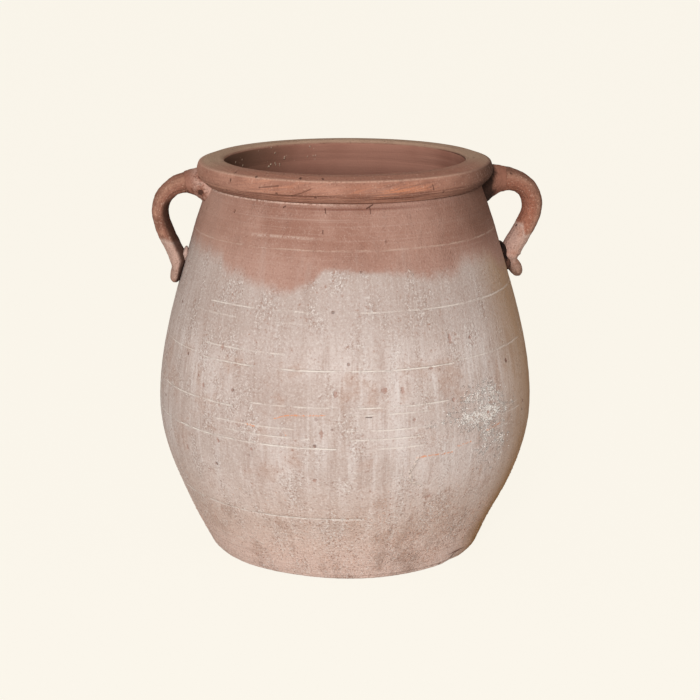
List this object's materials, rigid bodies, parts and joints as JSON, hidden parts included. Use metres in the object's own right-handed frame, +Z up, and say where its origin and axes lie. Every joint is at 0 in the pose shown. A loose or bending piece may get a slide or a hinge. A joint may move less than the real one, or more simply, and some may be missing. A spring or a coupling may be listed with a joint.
{
  "type": "olive jar",
  "caption": "Wide-mouthed earthenware storage jar with a swelling belly, thick rolled rim and two looped lifting handles.",
  "frame": {"origin": "centre of the flat foot, on the surface that the jar stands on", "axes": "+Z up through the mouth, X through both handles with the larger handle at +X, -Y towards the side seen in the picture"},
  "size_m": [0.3943, 0.38, 0.398],
  "materials": {
    "terracotta": "unglazed, dry and matt, with throwing marks",
    "lime_bloom": "unglazed clay under a chalky pinkish grey lime bloom, with scored rings and pits",
    "luting_clay": "rough smeared slip, fired with the jar"
  },
  "bodies": {
    "root": {"floor_slab": "lime_bloom", "lower_wall": "lime_bloom", "upper_wall": "lime_bloom", "rim_coil": "terracotta", "left_handle": "terracotta", "right_handle": "terracotta", "left_root_luting": "luting_clay", "right_root_luting": "luting_clay", "left_tail_luting": "luting_clay", "right_tail_luting": "luting_clay"}
  },
  "joints": []
}
